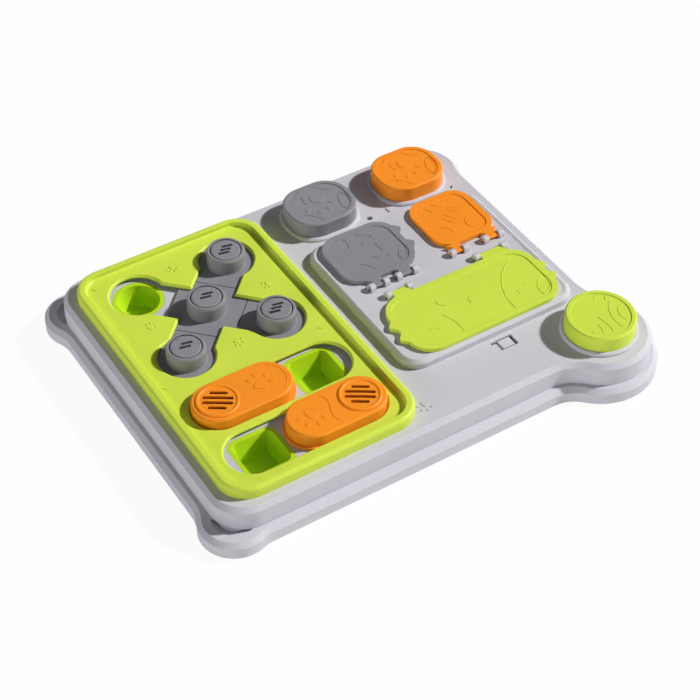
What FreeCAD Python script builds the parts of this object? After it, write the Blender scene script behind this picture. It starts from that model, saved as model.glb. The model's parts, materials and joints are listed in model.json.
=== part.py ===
import FreeCAD, Part
import math
import os
import re
import Sketcher

# Dog puzzle feeder board: millimetres, +Z up, the origin on the floor under the middle of the board.
# +X runs along the long front side, +Y to the back. The lime puzzle panel is the left half.

doc = FreeCAD.newDocument("puzzle_feeder")
sheet = doc.addObject("Spreadsheet::Sheet", "Sheet")

SIZES = {
    # heights above the floor
    "skirt_bottom": 0.8, "base_top": 12.0, "deck_top": 29.0, "panel_floor": 34.0, "panel_top": 37.6,
    "slider_top": 40.6, "knob_top": 42.6, "collar_top": 31.5, "cap_top": 43.0, "frame_top": 35.5,
    "well_bottom": 5.0,
    # plan of the base: half sizes of the board and the four rounded ears
    "base_left": -166.5, "base_right": 153.75, "base_front": -118.4, "base_back": 135.7,
    "small_ear": 23.5, "big_ear": 41.5, "back_lobe": 33.6, "ear_blend": 26.0,
    "left_ear_x": -148.25, "front_ear_y": -97.5, "back_ear_y": 116.0,
    "big_ear_x": 130.25, "big_ear_y": -98.0, "back_lobe_x": 123.65,
    "base_floor": 2.5, "base_ledge": 1.5, "bevel": 3.2, "ear_groove_inner": 10.2, "ear_groove_outer": 14.6,
    "ear_groove_deep": 1.6,
    # upper deck
    "deck_inset": 6.0, "deck_corner": 24.0, "deck_skin": 2.5, "under_frame": 7.0, "hole_gap": 0.5,
    "latch_x": 69.3, "latch_y": -75.4, "latch_long": 17.0, "latch_wide": 9.6, "latch_corner": 0.8,
    "tongue_gap": 2.4, "tongue_slack": 1.0, "tongue_drop": 0.4, "tongue_neck": 5.6, "neck_thick": 1.0,
    # puzzle panel with its cross slot and two straight slots
    "panel_x": -82.0, "panel_y": 8.5, "panel_width": 140.0, "panel_depth": 226.0,
    "panel_corner": 20.0, "panel_round": 2.6, "rim": 5.5, "panel_wall": 3.5, "panel_skin": 2.2,
    "cross_y": 54.0, "lobe_pitch": 34.0, "lobe_radius": 19.0, "arm_half": 14.85, "slot_edge": 1.2,
    "slot_length": 114.0, "slot_width": 36.0, "rear_slot_y": -31.4, "front_slot_y": -73.9,
    # plates that knobs and sliders run on
    "track_gap": 0.25, "track_width": 126.0, "track_depth": 212.0, "track_skin": 2.5, "track_split_y": -8.0,
    # treat cups
    "cup_radius": 16.0, "cup_depth": 16.0, "cup_wall": 1.4, "cup_lip": 1.6, "cup_lip_thick": 0.9,
    "cup_taper": 3.4, "cup_fit": 0.1,
    "slot_cup_x": 33.0, "slot_cup_width": 32.0, "slot_cup_depth": 32.0, "slot_cup_corner": 6.0,
    "slot_cup_lean": 13.0,
    # knobs
    "play": 0.05, "plate_half": 23.75, "plate_reach": 29.0, "plate_thick": 2.2,
    "drum_base": 13.2, "drum_rim": 12.4, "drum_roof": 3.2,
    "disc_radius": 10.2, "disc_groove": 0.8, "disc_seat": 1.2,
    # sliders and their grille discs
    "slider_length": 69.6, "slider_width": 34.6, "slider_flange": 1.8, "slider_wall": 2.2, "slider_rest": 0.3,
    "slider_edge": 1.1, "slider_roof": 2.6, "flange_thick": 2.2,
    "grille_radius": 14.4, "grille_slot": 2.4, "grille_pitch": 4.3, "grille_turn": -33.0, "grille_seat": 1.4,
    "grille_fit": 0.1, "vent_deep": 3.0,
    # lid frame, lids and their wells
    "frame_x": 68.2, "frame_y": -0.6, "frame_width": 136.4, "frame_depth": 133.2,
    "frame_corner": 14.0, "frame_skin": 2.5, "frame_bevel": 2.4, "frame_lip": 0.2, "frame_border": 4.6,
    "lid_thick": 3.0, "lid_gap": 0.3, "lid_border": 4.0, "lid_sink": 0.6,
    "pin_radius": 1.5, "pin_fit": 0.08,
    "clip_length": 3.6, "clip_radius": 3.0, "clip_slit": 2.4, "clip_gap": 0.4,
    "short_lid_y": 39.0, "short_lid_depth": 50.0, "short_hinge_y": 8.0,
    "grey_lid_x": 36.5, "grey_lid_width": 57.5, "orange_lid_x": 105.0, "orange_lid_width": 48.0,
    "lime_lid_x": 70.0, "lime_lid_width": 117.6,
    "lime_lid_y": -37.0, "lime_lid_depth": 56.0, "lime_hinge_y": -4.0,
    "well_wall": 1.6, "well_lip": 2.4, "well_seat": 1.2, "well_fit": 0.1, "well_corner": 9.0, "well_lean": 5.0,
    # lift-off caps
    "cap_y": 96.7, "grey_cap_x": 32.7, "orange_cap_x": 106.5, "cap_width": 50.5,
    "cap_depth": 43.0, "cap_corner": 18.5, "cap_wall": 2.2, "cap_edge": 0.9, "cap_border": 3.6,
    "cap_roof": 2.4,
    "round_cap_radius": 23.8, "collar": 2.5, "collar_bevel": 1.0, "upstand": 3.5, "cap_play": 0.3,
    # feet and screws
    "foot_radius": 8.0, "foot_recess": 0.8, "foot_fit": 0.2, "head_recess": 1.4, "head_fit": 0.3,
    "screw_radius": 1.5, "screw_length": 11.0, "screw_head": 3.0, "boss_radius": 4.0, "boss_core": 12.0,
}
for row, (name, number) in enumerate(SIZES.items(), start=1):
    sheet.set(f"A{row}", name)
    sheet.set(f"B{row}", str(number))
    sheet.setAlias(f"B{row}", name)
doc.recompute()


def link(text):
    """Turns {alias} in an expression into a reference to the sheet."""
    return re.sub(r"{(\w+)}", r"Sheet.\1", str(text))


def value(text):
    """The number that an expression of sheet sizes has now."""
    return float(sheet.evalExpression(link(text)))


def vector(x, y, z=0.0):
    return FreeCAD.Vector(x, y, z)


# Bodies, sketches and features

def new_body(label):
    body = doc.addObject("PartDesign::Body", label)
    body.Label = label
    return body


def new_sketch(body, height, x="0", y="0", role="XY_Plane"):
    """A sketch on a plane of the body's own origin, moved by sizes from the sheet."""
    sketch = body.newObject("Sketcher::SketchObject", body.Label + "_sketch")
    plane = [item for item in body.Origin.OriginFeatures if item.Role == role][0]
    sketch.AttachmentSupport = (plane, [""])
    sketch.MapMode = "FlatFace"
    sketch.setExpression("AttachmentOffset.Base.x", link(x))
    sketch.setExpression("AttachmentOffset.Base.y", link(y))
    sketch.setExpression("AttachmentOffset.Base.z", link(height))
    return sketch


def bind(sketch, index, name, text):
    sketch.renameConstraint(index, name)
    sketch.setExpression("Constraints." + name, link(text))


def circle(sketch, radius, name="radius", x=0.0, y=0.0):
    shape = Part.Circle(vector(x, y), vector(0, 0, 1), value(radius))
    item = sketch.addGeometry(shape)
    index = sketch.addConstraint(Sketcher.Constraint("Radius", item, value(radius)))
    bind(sketch, index, name, radius)
    if x == 0.0 and y == 0.0:
        sketch.addConstraint(Sketcher.Constraint("Coincident", item, 3, -1, 1))
    return item


def rounded_rectangle(sketch, width, depth, radius):
    """A rectangle with round corners about the sketch's origin, its three sizes bound to the sheet."""
    half_w, half_d, r = value(width) / 2, value(depth) / 2, value(radius)
    inner_w, inner_d = half_w - r, half_d - r
    lines = [
        ((-inner_w, -half_d), (inner_w, -half_d)),
        ((half_w, -inner_d), (half_w, inner_d)),
        ((inner_w, half_d), (-inner_w, half_d)),
        ((-half_w, inner_d), (-half_w, -inner_d)),
    ]
    sides = [sketch.addGeometry(Part.LineSegment(vector(*p), vector(*q))) for p, q in lines]
    centres = [(inner_w, -inner_d), (inner_w, inner_d), (-inner_w, inner_d), (-inner_w, -inner_d)]
    arcs = []
    for number, centre in enumerate(centres):
        start = math.radians(90 * number - 90)
        whole = Part.Circle(vector(*centre), vector(0, 0, 1), r)
        arcs.append(sketch.addGeometry(Part.ArcOfCircle(whole, start, start + math.pi / 2)))
    for number in range(4):
        following = (number + 1) % 4
        sketch.addConstraint(Sketcher.Constraint("Tangent", sides[number], 2, arcs[number], 1))
        sketch.addConstraint(Sketcher.Constraint("Tangent", arcs[number], 2, sides[following], 1))
    sketch.addConstraint(Sketcher.Constraint("Horizontal", sides[0]))
    for number in range(1, 4):
        sketch.addConstraint(Sketcher.Constraint("Equal", arcs[0], arcs[number]))
    sketch.addConstraint(Sketcher.Constraint("Symmetric", arcs[0], 3, arcs[2], 3, -1, 1))
    sketch.addConstraint(Sketcher.Constraint("Vertical", arcs[0], 3, arcs[1], 3))
    index = sketch.addConstraint(Sketcher.Constraint("Radius", arcs[0], r))
    bind(sketch, index, "corner", radius)
    index = sketch.addConstraint(Sketcher.Constraint("DistanceX", arcs[3], 3, arcs[0], 3, 2 * inner_w))
    bind(sketch, index, "across", f"({width}) - 2 * ({radius})")
    index = sketch.addConstraint(Sketcher.Constraint("DistanceY", arcs[0], 3, arcs[1], 3, 2 * inner_d))
    bind(sketch, index, "along", f"({depth}) - 2 * ({radius})")


def stadium(sketch, length, width):
    """A slot shape along X about the sketch's origin, bound to the sheet."""
    reach, r = (value(length) - value(width)) / 2, value(width) / 2
    top = sketch.addGeometry(Part.LineSegment(vector(reach, r), vector(-reach, r)))
    bottom = sketch.addGeometry(Part.LineSegment(vector(-reach, -r), vector(reach, -r)))
    ends = []
    for side in (1, -1):
        whole = Part.Circle(vector(side * reach, 0), vector(0, 0, 1), r)
        start = -math.pi / 2 if side == 1 else math.pi / 2
        ends.append(sketch.addGeometry(Part.ArcOfCircle(whole, start, start + math.pi)))
    sketch.addConstraint(Sketcher.Constraint("Tangent", bottom, 2, ends[0], 1))
    sketch.addConstraint(Sketcher.Constraint("Tangent", ends[0], 2, top, 1))
    sketch.addConstraint(Sketcher.Constraint("Tangent", top, 2, ends[1], 1))
    sketch.addConstraint(Sketcher.Constraint("Tangent", ends[1], 2, bottom, 1))
    sketch.addConstraint(Sketcher.Constraint("Horizontal", top))
    sketch.addConstraint(Sketcher.Constraint("Symmetric", ends[0], 3, ends[1], 3, -1, 1))
    index = sketch.addConstraint(Sketcher.Constraint("Radius", ends[0], r))
    bind(sketch, index, "half_width", f"({width}) / 2")
    index = sketch.addConstraint(Sketcher.Constraint("DistanceX", ends[1], 3, ends[0], 3, 2 * reach))
    bind(sketch, index, "reach", f"({length}) - ({width})")


def trace(sketch, edges):
    """Draws a closed run of lines and arcs, worked out from the sheet, and holds each where it is."""
    for edge in edges:
        item = sketch.addGeometry(edge)
        sketch.addConstraint(Sketcher.Constraint("Block", item))


def polygon(points):
    count = len(points)
    ends = [(vector(*points[n]), vector(*points[(n + 1) % count])) for n in range(count)]
    return [Part.LineSegment(p, q) for p, q in ends]


def pad(body, sketch, length):
    feature = body.newObject("PartDesign::Pad", body.Label + "_pad")
    feature.Profile = sketch
    feature.setExpression("Length", link(length))
    sketch.Visibility = False
    doc.recompute()
    return feature


def pocket(body, sketch, depth, upward=False):
    """Cuts down from the sketch, or up from it, and makes sure that material went away."""
    before = body.Shape.Volume
    feature = body.newObject("PartDesign::Pocket", body.Label + "_pocket")
    feature.Profile = sketch
    feature.setExpression("Length", link(depth))
    feature.Reversed = upward
    sketch.Visibility = False
    doc.recompute()
    if not body.Shape.Volume < before - 0.01:
        raise RuntimeError("a pocket of " + body.Label + " cuts nothing")
    return feature


def turned(body, x, y, points):
    """Turns an outline of radius and height pairs about an upright axis."""
    sketch = new_sketch(body, f"-({y})", x, "0", "XZ_Plane")
    trace(sketch, polygon(points))
    feature = body.newObject("PartDesign::Revolution", body.Label + "_turn")
    feature.Profile = sketch
    feature.ReferenceAxis = (sketch, ["V_Axis"])
    feature.Angle = 360
    sketch.Visibility = False
    doc.recompute()
    return feature


def edge_names(body, wanted):
    """Names of the edges of a body's tip that a test on their middle point and edge accepts."""
    names = []
    for number, edge in enumerate(body.Tip.Shape.Edges, start=1):
        middle = edge.valueAt((edge.FirstParameter + edge.LastParameter) / 2)
        if wanted(middle, edge):
            names.append(f"Edge{number}")
    return names


def dress(body, kind, size_name, size, wanted):
    names = edge_names(body, wanted)
    if not names:
        raise RuntimeError("no edge to dress on " + body.Label)
    tip = body.Tip
    feature = body.newObject("PartDesign::" + kind, body.Label + "_" + kind.lower())
    feature.Base = (tip, names)
    feature.setExpression(size_name, link(size))
    doc.recompute()
    return feature


def chamfer(body, size, wanted):
    return dress(body, "Chamfer", "Size", size, wanted)


def fillet(body, size, wanted):
    return dress(body, "Fillet", "Radius", size, wanted)


def level(height):
    """A test that keeps the edges lying at one height."""
    wanted = value(height)

    def test(middle, edge):
        box = edge.BoundBox
        return abs(box.ZMin - wanted) < 1e-4 and abs(box.ZMax - wanted) < 1e-4
    return test


def level_within(height, x, y, reach_x, reach_y):
    """A test that keeps the edges at one height whose middle lies in a rectangle."""
    flat = level(height)
    cx, cy, rx, ry = value(x), value(y), value(reach_x), value(reach_y)

    def test(middle, edge):
        return flat(middle, edge) and abs(middle.x - cx) < rx and abs(middle.y - cy) < ry
    return test


# Plan outlines of the base and the deck

def corner_points(side, centre, radius, blend, leaving):
    """Where a side line meets a corner: the point on the line, the blend's middle, the ear's point."""
    normal, distance = side
    along = vector(-normal.y, normal.x)
    sign = 1 if leaving else -1
    if centre.dot(normal) + radius < distance + 0.01:
        point = centre + normal * radius
        return point, None, point
    rise = distance + blend - centre.dot(normal)
    shift = math.sqrt((radius + blend) ** 2 - rise ** 2)
    middle = normal * (distance + blend) + along * (centre.dot(along) + sign * shift)
    on_line = middle - normal * blend
    on_ear = centre + (middle - centre) * (radius / (radius + blend))
    bisector = (on_line - middle) + (on_ear - middle)
    bisector.normalize()
    return on_line, middle + bisector * blend, on_ear


def eared_outline(sides, corners):
    """Lines and arcs round a board whose corner circles may stand out past its sides."""
    edges = []
    arrivals, departures = [], []
    for number, (centre, radius, blend) in enumerate(corners):
        arrivals.append(corner_points(sides[number - 1], centre, radius, blend, False))
        departures.append(corner_points(sides[number], centre, radius, blend, True))
    for number, (centre, radius, blend) in enumerate(corners):
        line_in, blend_in, ear_in = arrivals[number]
        line_out, blend_out, ear_out = departures[number]
        if blend_in:
            edges.append(Part.Arc(line_in, blend_in, ear_in))
        outward = sides[number - 1][0] + sides[number][0]
        outward.normalize()
        edges.append(Part.Arc(ear_in, centre + outward * radius, ear_out))
        if blend_out:
            edges.append(Part.Arc(ear_out, blend_out, line_out))
        next_line = arrivals[(number + 1) % len(corners)][0]
        edges.append(Part.LineSegment(line_out, next_line))
    return edges


def board_sides(inset):
    """Front, right, back and left side as outward normal and distance from the origin."""
    return [
        (vector(0, -1), -value("{base_front}") - inset),
        (vector(1, 0), value("{base_right}") - inset),
        (vector(0, 1), value("{base_back}") - inset),
        (vector(-1, 0), -value("{base_left}") - inset),
    ]


def right_corners(inset):
    blend = value("{ear_blend}") + inset
    big = vector(value("{big_ear_x}"), value("{big_ear_y}"))
    lobe = vector(value("{back_lobe_x}"), value("{base_back} - {back_lobe}"))
    return [(big, value("{big_ear}") - inset, blend), (lobe, value("{back_lobe}") - inset, blend)]


def base_outline(inset=0.0):
    blend = value("{ear_blend}") + inset
    radius = value("{small_ear}") - inset
    front_left = (vector(value("{left_ear_x}"), value("{front_ear_y}")), radius, blend)
    back_left = (vector(value("{left_ear_x}"), value("{back_ear_y}")), radius, blend)
    corners = [front_left] + right_corners(inset) + [back_left]
    return eared_outline(board_sides(inset), corners)


def deck_outline(extra=0.0):
    inset = value("{deck_inset}") + extra
    radius = value("{deck_corner}") - extra
    x = value("{base_left} + {deck_inset} + {deck_corner}")
    front_left = (vector(x, value("{base_front} + {deck_inset} + {deck_corner}")), radius, 0.0)
    back_left = (vector(x, value("{base_back} - {deck_inset} - {deck_corner}")), radius, 0.0)
    corners = [front_left] + right_corners(inset) + [back_left]
    return eared_outline(board_sides(inset), corners)


# Base tray

EAR_GROOVE_HALF_TURN = 70.0
# places of the feet and of the screws, as x and y
FOOT_PLACES = [(-148.0, -96.0), (-148.0, 114.0), (130.0, -98.0), (124.0, 102.0), (-8.0, -96.0), (-8.0, 112.0)]
SCREW_PLACES = [(-138.0, -86.0), (-26.0, -86.0), (-26.0, 100.0), (-138.0, 100.0), (40.0, -92.0), (70.0, 118.0)]


def ring_sector(centre, inner, outer, middle_angle, half_turn):
    """A curved groove: two arcs about a centre, closed by two short lines."""
    def at(radius, angle):
        turn = math.radians(angle)
        return centre + vector(radius * math.cos(turn), radius * math.sin(turn))
    low, high = middle_angle - half_turn, middle_angle + half_turn
    return [
        Part.Arc(at(outer, low), at(outer, middle_angle), at(outer, high)),
        Part.LineSegment(at(outer, high), at(inner, high)),
        Part.Arc(at(inner, high), at(inner, middle_angle), at(inner, low)),
        Part.LineSegment(at(inner, low), at(outer, low)),
    ]


def base_tray():
    body = new_body("base_tray")
    outline = new_sketch(body, "{skirt_bottom}")
    trace(outline, base_outline())
    pad(body, outline, "{base_top} - {skirt_bottom}")
    chamfer(body, "{bevel}", level("{base_top}"))
    inside = new_sketch(body, "{base_top}")
    trace(inside, deck_outline(value("{deck_skin} + {base_ledge}")))
    pocket(body, inside, "{base_top} - {skirt_bottom} - {base_floor}")
    for y, angle in (("{front_ear_y}", 225.0), ("{back_ear_y}", 135.0)):
        groove = new_sketch(body, "{base_top}", "{left_ear_x}", y)
        inner, outer = value("{ear_groove_inner}"), value("{ear_groove_outer}")
        trace(groove, ring_sector(vector(0, 0), inner, outer, angle, EAR_GROOVE_HALF_TURN))
        pocket(body, groove, "{ear_groove_deep}")
    feet = new_sketch(body, "{skirt_bottom}")
    for number, (x, y) in enumerate(FOOT_PLACES):
        circle(feet, "{foot_radius} + {foot_fit}", f"foot{number}", x, y)
    pocket(body, feet, "{foot_recess}", upward=True)
    for radius, depth in (("{screw_head} + {head_fit}", "{head_recess}"),
                          ("{screw_radius} + {foot_fit}", "{base_floor}")):
        holes = new_sketch(body, "{skirt_bottom}")
        for number, (x, y) in enumerate(SCREW_PLACES):
            circle(holes, radius, f"hole{number}", x, y)
        pocket(body, holes, depth, upward=True)
    return body


# Upper deck with its openings, and the two track plates that fill the one under the panel

CAPS = [("{grey_cap_x}", "{cap_y}"), ("{orange_cap_x}", "{cap_y}")]
# small moulding windows behind the lid frame: middle, long and wide size, turn in degrees
SMALL_WINDOWS = [(62.3, 77.1, 3.8, 3.4, -12.0), (77.5, 77.8, 5.0, 1.6, 97.0), (131.2, 75.2, 3.2, 1.5, 40.0)]


def turned_rectangle(x, y, long, wide, turn):
    c, n = math.cos(math.radians(turn)), math.sin(math.radians(turn))
    corners = [(-long / 2, -wide / 2), (long / 2, -wide / 2), (long / 2, wide / 2), (-long / 2, wide / 2)]
    return polygon([(x + a * c - b * n, y + a * n + b * c) for a, b in corners])


def latch_window(body):
    """The window in front of the lid frame, with a snap tongue that springs from its left side."""
    window = new_sketch(body, "{deck_top}", "{latch_x}", "{latch_y}")
    rounded_rectangle(window, "{latch_long}", "{latch_wide}", "{latch_corner}")
    pocket(body, window, "{deck_skin}")
    half_long, half_wide, slack = value("{latch_long} / 2"), value("{latch_wide} / 2"), value("{tongue_slack}")
    left, right = -half_long - 0.5, half_long - value("{tongue_gap}")
    front, back = slack - half_wide, half_wide - slack
    tongue = new_sketch(body, "{deck_top} - {deck_skin}", "{latch_x}", "{latch_y}")
    trace(tongue, polygon([(left, front), (right, front), (right, back), (left, back)]))
    pad(body, tongue, "{deck_skin} - {tongue_drop}")
    neck_end = value("{tongue_neck}") - half_long
    neck = new_sketch(body, "{deck_top}", "{latch_x}", "{latch_y}")
    trace(neck, polygon([(-half_long, front), (neck_end, front), (neck_end, back), (-half_long, back)]))
    pocket(body, neck, "{deck_skin} - {neck_thick}")


def screw_pillars(body, places):
    """Pillars that stand on the base's floor, run up into the skin above and take the screws."""
    bosses = new_sketch(body, "{skirt_bottom} + {base_floor}")
    for number, (x, y) in enumerate(places):
        circle(bosses, "{boss_radius}", f"boss{number}", x, y)
    pad(body, bosses, "{deck_top} - {track_skin} - {skirt_bottom} - {base_floor} + 0.5")
    holes = new_sketch(body, "{skirt_bottom} + {base_floor}")
    for number, (x, y) in enumerate(places):
        circle(holes, "{screw_radius} + 0.05", f"core{number}", x, y)
    pocket(body, holes, "{boss_core}", upward=True)


def upper_deck():
    body = new_body("upper_deck")
    outline = new_sketch(body, "{base_top}")
    trace(outline, deck_outline())
    pad(body, outline, "{deck_top} - {base_top}")
    chamfer(body, "{bevel}", level("{deck_top}"))
    inside = new_sketch(body, "{base_top}")
    trace(inside, deck_outline(value("{deck_skin}")))
    pocket(body, inside, "{deck_top} - {deck_skin} - {base_top}", upward=True)
    track = new_sketch(body, "{deck_top}", "{panel_x}", "{panel_y}")
    rounded_rectangle(track, "{track_width}", "{track_depth}", "{panel_corner} - {rim}")
    pocket(body, track, "{deck_skin}")
    under_frame = new_sketch(body, "{deck_top}", "{frame_x}", "{frame_y}")
    rounded_rectangle(under_frame, "{frame_width} - 2 * {under_frame}", "{frame_depth} - 2 * {under_frame}",
                      "{frame_corner} - {panel_wall}")
    pocket(body, under_frame, "{deck_skin}")
    for x, y in CAPS:
        hole = new_sketch(body, "{deck_top}", x, y)
        inset = "({cap_wall} + {hole_gap})"
        rounded_rectangle(hole, f"{{cap_width}} - 2 * {inset}", f"{{cap_depth}} - 2 * {inset}",
                          f"{{cap_corner}} - {inset}")
        pocket(body, hole, "{deck_skin}")
    hole = new_sketch(body, "{deck_top}", "{big_ear_x}", "{big_ear_y}")
    circle(hole, "{round_cap_radius} - {cap_wall} - {hole_gap}")
    pocket(body, hole, "{deck_skin}")
    latch_window(body)
    windows = new_sketch(body, "{deck_top}")
    for x, y, long, wide, turn in SMALL_WINDOWS:
        trace(windows, turned_rectangle(x, y, long, wide, turn))
    pocket(body, windows, "{deck_skin}")
    screw_pillars(body, SCREW_PLACES[4:])
    return body


ROUND_CUPS = {
    "cup_rear_left": (-1, 1), "cup_rear_right": (1, 1),
    "cup_front_right": (1, -1), "cup_front_left": (-1, -1),
}
SLOT_CUPS = {
    "slot_cup_rear_left": (-1, "{rear_slot_y}"), "slot_cup_rear_right": (1, "{rear_slot_y}"),
    "slot_cup_front_left": (-1, "{front_slot_y}"), "slot_cup_front_right": (1, "{front_slot_y}"),
}


def track_plate(label, middle_y, depth, bosses):
    """One half of the floor that the knobs or the sliders run on."""
    body = new_body(label)
    plate = new_sketch(body, "{deck_top} - {track_skin}", "{panel_x}", middle_y)
    rounded_rectangle(plate, "{track_width} - 2 * {track_gap}", depth, "{panel_corner} - {rim} - {track_gap}")
    pad(body, plate, "{track_skin}")
    screw_pillars(body, bosses)
    return body


def cross_track():
    top = "({panel_y} + {track_depth} / 2 - {track_gap})"
    body = track_plate("cross_track", f"({top} + {{track_split_y}} + {{track_gap}}) / 2",
                       f"{top} - {{track_split_y}} - {{track_gap}}", SCREW_PLACES[2:4])
    for radius, depth in (("{cup_radius} + {cup_lip} + {cup_fit}", "{cup_lip_thick} + {play}"),
                          ("{cup_radius} + {cup_fit}", "{track_skin}")):
        holes = new_sketch(body, "{deck_top}", "{panel_x}", "{cross_y}")
        for label, (across, along) in ROUND_CUPS.items():
            circle(holes, radius, label, across * value("{lobe_pitch}"), along * value("{lobe_pitch}"))
        pocket(body, holes, depth)
    return body


def slot_track():
    bottom = "({panel_y} - {track_depth} / 2 + {track_gap})"
    body = track_plate("slot_track", f"({bottom} + {{track_split_y}} - {{track_gap}}) / 2",
                       f"{{track_split_y}} - {{track_gap}} - {bottom}", SCREW_PLACES[0:2])
    for side, y in SLOT_CUPS.values():
        for lip, depth in (("({cup_lip} + {cup_fit})", "{cup_lip_thick} + {play}"),
                           ("{cup_fit}", "{track_skin}")):
            hole = new_sketch(body, "{deck_top}", f"{{panel_x}} + {side} * {{slot_cup_x}}", y)
            rounded_rectangle(hole, f"{{slot_cup_width}} + 2 * ({lip})", f"{{slot_cup_depth}} + 2 * ({lip})",
                              f"{{slot_cup_corner}} + {lip}")
            pocket(body, hole, depth)
    return body


# Treat cups

def knob_centre_at(across, along):
    """Where a knob or a round cup sits, counted in lobes from the middle of the cross."""
    return f"{{panel_x}} + {across} * {{lobe_pitch}}", f"{{cross_y}} + {along} * {{lobe_pitch}}"


def round_cup(label, across, along):
    """A turned cup: a lip that lies in the track plate and a wall that leans in to the floor."""
    body = new_body(label)
    x, y = knob_centre_at(across, along)
    top, r = value("{deck_top} - {play}"), value("{cup_radius}")
    lip, thick, wall = value("{cup_lip}"), value("{cup_lip_thick}"), value("{cup_wall}")
    low = top - value("{cup_depth}")
    inner = r - wall
    narrow = inner - value("{cup_taper}")
    turned(body, x, y, [
        (0, low - wall), (narrow + wall, low - wall), (r, top - thick), (r + lip, top - thick),
        (r + lip, top), (inner, top), (narrow, low), (0, low),
    ])
    return body


def drafted(body, sketch, depth, lean, cut=False):
    """A pad or pocket down from the sketch whose walls lean in by an angle, as a mould needs."""
    before = body.Shape.Volume
    kind = "Pocket" if cut else "Pad"
    feature = body.newObject("PartDesign::" + kind, body.Label + "_drafted_" + kind.lower())
    feature.Profile = sketch
    feature.setExpression("Length", link(depth))
    feature.Reversed = not cut
    feature.setExpression("TaperAngle", link(f"-({lean})"))
    sketch.Visibility = False
    doc.recompute()
    grown = body.Shape.Volume - before
    if (grown > -0.01) if cut else (grown < 0.01):
        raise RuntimeError("a drafted step of " + body.Label + " changes nothing")
    return feature


def slot_cup(label, side, y):
    """A moulded well with a rounded square mouth and walls that lean in to a smaller floor."""
    x = f"{{panel_x}} + {side} * {{slot_cup_x}}"
    top = "({deck_top} - {play})"
    return tub(label, x, y, "{slot_cup_width}", "{slot_cup_depth}", "{slot_cup_corner}", top,
               f"({top} - {{cup_depth}} - {{cup_wall}})", "{cup_lip}", "{cup_lip_thick}", "{cup_wall}",
               "{slot_cup_lean}")


def tub(label, x, y, width, depth, corner, top, bottom, lip, thick, wall, lean):
    """A moulded well: a flat lip round the mouth and walls that lean in to the floor."""
    body = new_body(label)
    rim = new_sketch(body, f"{top} - {thick}", x, y)
    rounded_rectangle(rim, f"{width} + 2 * {lip}", f"{depth} + 2 * {lip}", f"{corner} + {lip}")
    pad(body, rim, thick)
    outer = new_sketch(body, f"{top} - {thick}", x, y)
    rounded_rectangle(outer, width, depth, corner)
    drafted(body, outer, f"{top} - {thick} - {bottom}", lean)
    inner = new_sketch(body, top, x, y)
    rounded_rectangle(inner, f"{width} - 2 * {wall}", f"{depth} - 2 * {wall}", f"{corner} - {wall}")
    drafted(body, inner, f"{top} - {bottom} - {wall}", lean, cut=True)
    return body


# Puzzle panel

def cross_slot(body):
    """The X slot: two crossing arms at 45 degrees, then a round opening over each corner cup."""
    reach = value("{lobe_pitch}") * math.sqrt(2)
    half = value("{arm_half}")
    diagonal = math.sqrt(0.5)
    for turn in (1, -1):
        arm = new_sketch(body, "{panel_floor}", "{panel_x}", "{cross_y}")
        corners = [(-reach, -half), (reach, -half), (reach, half), (-reach, half)]
        trace(arm, polygon([((a - turn * b) * diagonal, (turn * a + b) * diagonal) for a, b in corners]))
        pocket(body, arm, "{panel_skin}")
    lobes = new_sketch(body, "{panel_floor}", "{panel_x}", "{cross_y}")
    for label, (across, along) in ROUND_CUPS.items():
        circle(lobes, "{lobe_radius}", label, across * value("{lobe_pitch}"), along * value("{lobe_pitch}"))
    pocket(body, lobes, "{panel_skin}")


def puzzle_panel():
    body = new_body("puzzle_panel")
    outer = new_sketch(body, "{deck_top}", "{panel_x}", "{panel_y}")
    rounded_rectangle(outer, "{panel_width}", "{panel_depth}", "{panel_corner}")
    pad(body, outer, "{panel_top} - {deck_top}")
    fillet(body, "{panel_round}", level("{panel_top}"))
    tray = new_sketch(body, "{panel_top}", "{panel_x}", "{panel_y}")
    rounded_rectangle(tray, "{panel_width} - 2 * {rim}", "{panel_depth} - 2 * {rim}", "{panel_corner} - {rim}")
    pocket(body, tray, "{panel_top} - {panel_floor}")
    under = new_sketch(body, "{deck_top}", "{panel_x}", "{panel_y}")
    rounded_rectangle(under, "{panel_width} - 2 * {panel_wall}", "{panel_depth} - 2 * {panel_wall}",
                      "{panel_corner} - {panel_wall}")
    pocket(body, under, "{panel_floor} - {panel_skin} - {deck_top}", upward=True)
    for y in ("{rear_slot_y}", "{front_slot_y}"):
        slot = new_sketch(body, "{panel_floor}", "{panel_x}", y)
        stadium(slot, "{slot_length}", "{slot_width}")
        pocket(body, slot, "{panel_skin}")
    cross_slot(body)
    slots = level_within("{panel_floor}", "{panel_x}", "{panel_y}", "{panel_width} / 2 - {rim} - 1",
                         "{panel_depth} / 2 - {rim} - 1")
    chamfer(body, "{slot_edge}", slots)
    return body


# Knobs that slide in the X slot

KNOBS = {
    "knob_rear_right": (1, 1), "knob_front_right": (1, -1), "knob_front_left": (-1, -1), "knob_centre": (0, 0),
}


def cut_square(half, reach):
    """A square turned by 45 degrees whose four points are cut off by a circle."""
    along = math.sqrt(reach ** 2 - half ** 2)
    edges = []
    for quarter in range(4):
        turn = math.radians(45 + 90 * quarter)

        def at(a, b):
            return vector(a * math.cos(turn) - b * math.sin(turn), a * math.sin(turn) + b * math.cos(turn))
        point = reach * math.sqrt(0.5)
        edges.append(Part.LineSegment(at(half, -along), at(half, along)))
        edges.append(Part.Arc(at(half, along), at(point, point), at(along, half)))
    return edges


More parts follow.
